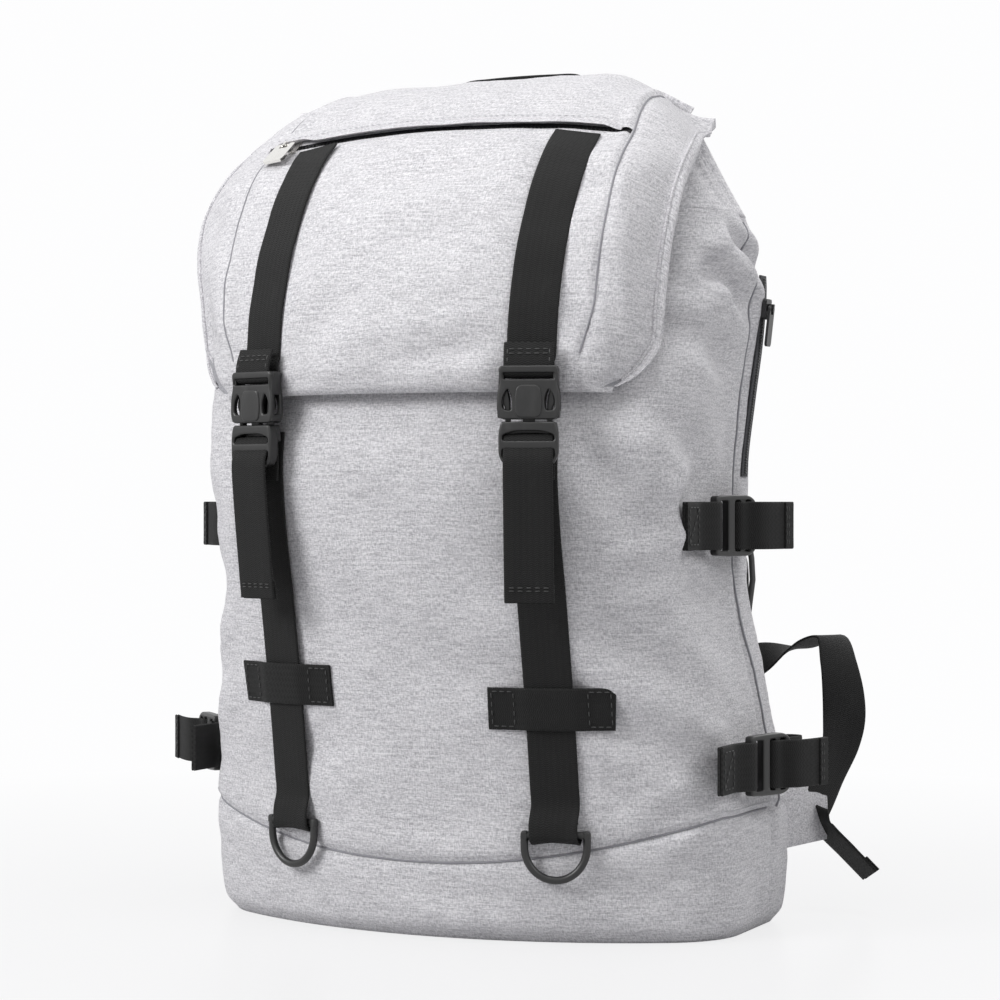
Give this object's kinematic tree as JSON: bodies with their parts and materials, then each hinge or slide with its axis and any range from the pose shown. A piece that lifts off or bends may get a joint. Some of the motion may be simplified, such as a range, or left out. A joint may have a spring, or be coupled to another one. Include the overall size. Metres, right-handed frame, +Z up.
{
  "type": "daypack",
  "caption": "Upright cloth daypack with a buckled lid pocket, front straps with D-rings, side compression straps and padded shoulder straps.",
  "frame": {"origin": "on the ground under the middle of the pack's base", "axes": "+Z up, -Y out of the front, +Y to the wearer's back, +X to the right of someone facing the front"},
  "size_m": [0.3846, 0.251, 0.4612],
  "materials": {
    "heather_cloth": "plain weave, heather grey",
    "lining": "smooth lining cloth",
    "air_mesh": "spacer mesh",
    "shoulder_pad": "heather cloth over foam",
    "webbing": "ribbed webbing",
    "zip_cloth": "woven zip tape",
    "black_plastic": "fine matte grain",
    "board": "plain sheet",
    "bright_metal": "bright plate",
    "dark_metal": "dark plate"
  },
  "bodies": {
    "root": {"body_wall": "heather_cloth", "back_panel": "heather_cloth", "base_panel": "heather_cloth", "collar": "heather_cloth", "collar_eyelets": "dark_metal", "base_board": "board", "laptop_sleeve": "lining", "back_pads": "air_mesh", "strap_yoke": "air_mesh", "handle_anchors": "webbing", "side_anchors": "webbing", "side_zip_tape": "zip_cloth", "left_front_strap": "webbing", "left_keeper": "webbing", "left_wing_tab": "heather_cloth", "left_lower_webbing": "webbing", "left_webbing_tail": "webbing", "left_upper_side_strap": "webbing", "left_lower_side_strap": "webbing", "right_front_strap": "webbing", "right_keeper": "webbing", "right_wing_tab": "heather_cloth", "right_lower_webbing": "webbing", "right_webbing_tail": "webbing", "right_upper_side_strap": "webbing", "right_lower_side_strap": "webbing"},
    "lid": {"lid_skin": "heather_cloth", "lid_liner": "lining", "lid_gussets": "heather_cloth", "lid_zip_tapes": "zip_cloth", "storm_flap": "heather_cloth", "left_upper_strap": "webbing", "left_buckle_socket": "black_plastic", "right_upper_strap": "webbing", "right_buckle_socket": "black_plastic"},
    "left_clip": {"left_buckle_clip": "black_plastic", "left_buckle_prongs": "black_plastic", "left_strap_tail": "webbing"},
    "left_ring": {"left_d_ring": "black_plastic"},
    "left_upper_side_lock": {"left_upper_side_buckle": "black_plastic", "left_upper_side_tail": "webbing"},
    "left_lower_side_lock": {"left_lower_side_buckle": "black_plastic", "left_lower_side_tail": "webbing"},
    "left_shoulder": {"left_shoulder_strap": "shoulder_pad", "left_ladder_lock": "black_plastic"},
    "right_clip": {"right_buckle_clip": "black_plastic", "right_buckle_prongs": "black_plastic", "right_strap_tail": "webbing"},
    "right_ring": {"right_d_ring": "black_plastic"},
    "right_upper_side_lock": {"right_upper_side_buckle": "black_plastic", "right_upper_side_tail": "webbing"},
    "right_lower_side_lock": {"right_lower_side_buckle": "black_plastic", "right_lower_side_tail": "webbing"},
    "right_shoulder": {"right_shoulder_strap": "shoulder_pad", "right_ladder_lock": "black_plastic"},
    "handle": {"grab_handle": "webbing"},
    "lid_zip": {"lid_zip_slider": "bright_metal"},
    "lid_zip_tab": {"lid_zip_pull": "bright_metal"},
    "side_zip": {"side_zip_slider": "dark_metal"},
    "side_zip_tab": {"side_zip_pull": "dark_metal"}
  },
  "joints": [
    {"name": "lid_hinge", "type": "hinge", "parent": "root", "child": "lid", "pos_m": [0, 0.048, 0.45], "axis": [-1, 0, 0], "range_deg": [0, 110]},
    {"name": "left_clip_release", "type": "slide", "parent": "root", "child": "left_clip", "axis": [0, 0, -1], "range_m": [0, 0.03], "deforming": ["left_buckle_prongs"]},
    {"name": "left_ring_swing", "type": "hinge", "parent": "root", "child": "left_ring", "pos_m": [-0.076, -0.06792, 0.057], "axis": [-0.9527, 0.304, 0], "range_deg": [0, 150]},
    {"name": "left_upper_side_tilt", "type": "hinge", "parent": "root", "child": "left_upper_side_lock", "pos_m": [-0.13998, -0.006, 0.214], "axis": [0, 0, 1], "range_deg": [0, 30]},
    {"name": "left_lower_side_tilt", "type": "hinge", "parent": "root", "child": "left_lower_side_lock", "pos_m": [-0.15609, -0.006, 0.09], "axis": [0, 0, 1], "range_deg": [0, 30]},
    {"name": "left_shoulder_swing", "type": "hinge", "parent": "root", "child": "left_shoulder", "pos_m": [-0.042, 0.056, 0.42], "axis": [1, 0, 0], "range_deg": [0, 12], "deforming": ["left_lower_webbing"]},
    {"name": "right_clip_release", "type": "slide", "parent": "root", "child": "right_clip", "axis": [0, 0, -1], "range_m": [0, 0.03], "deforming": ["right_buckle_prongs"]},
    {"name": "right_ring_swing", "type": "hinge", "parent": "root", "child": "right_ring", "pos_m": [0.076, -0.06792, 0.057], "axis": [-0.9527, -0.304, 0], "range_deg": [0, 150]},
    {"name": "right_upper_side_tilt", "type": "hinge", "parent": "root", "child": "right_upper_side_lock", "pos_m": [0.13998, -0.006, 0.214], "axis": [0, 0, -1], "range_deg": [0, 30]},
    {"name": "right_lower_side_tilt", "type": "hinge", "parent": "root", "child": "right_lower_side_lock", "pos_m": [0.15609, -0.006, 0.09], "axis": [0, 0, -1], "range_deg": [0, 30]},
    {"name": "right_shoulder_swing", "type": "hinge", "parent": "root", "child": "right_shoulder", "pos_m": [0.042, 0.056, 0.42], "axis": [1, 0, 0], "range_deg": [0, 12], "deforming": ["right_lower_webbing"]},
    {"name": "handle_fold", "type": "hinge", "parent": "root", "child": "handle", "pos_m": [0, 0.07896, 0.438], "axis": [-1, 0, 0], "range_deg": [0, 40]},
    {"name": "lid_zip_run", "type": "hinge", "parent": "lid", "child": "lid_zip", "pos_m": [0, 0.43784, -0.00671], "axis": [0, 0.6725, 0.7401], "range_deg": [0, 17.21]},
    {"name": "lid_tab_flip", "type": "hinge", "parent": "lid_zip", "child": "lid_zip_tab", "pos_m": [-0.09873, -0.0348, 0.42094], "axis": [-0.9882, 0.1133, -0.1029], "range_deg": [0, 110]},
    {"name": "side_zip_run", "type": "slide", "parent": "root", "child": "side_zip", "axis": [-0.114, 0, -0.9935], "range_m": [0, 0.076]},
    {"name": "side_tab_flip", "type": "hinge", "parent": "side_zip", "child": "side_zip_tab", "pos_m": [0.15004, 0.053, 0.33055], "axis": [0, -1, 0], "range_deg": [0, 110]}
  ]
}
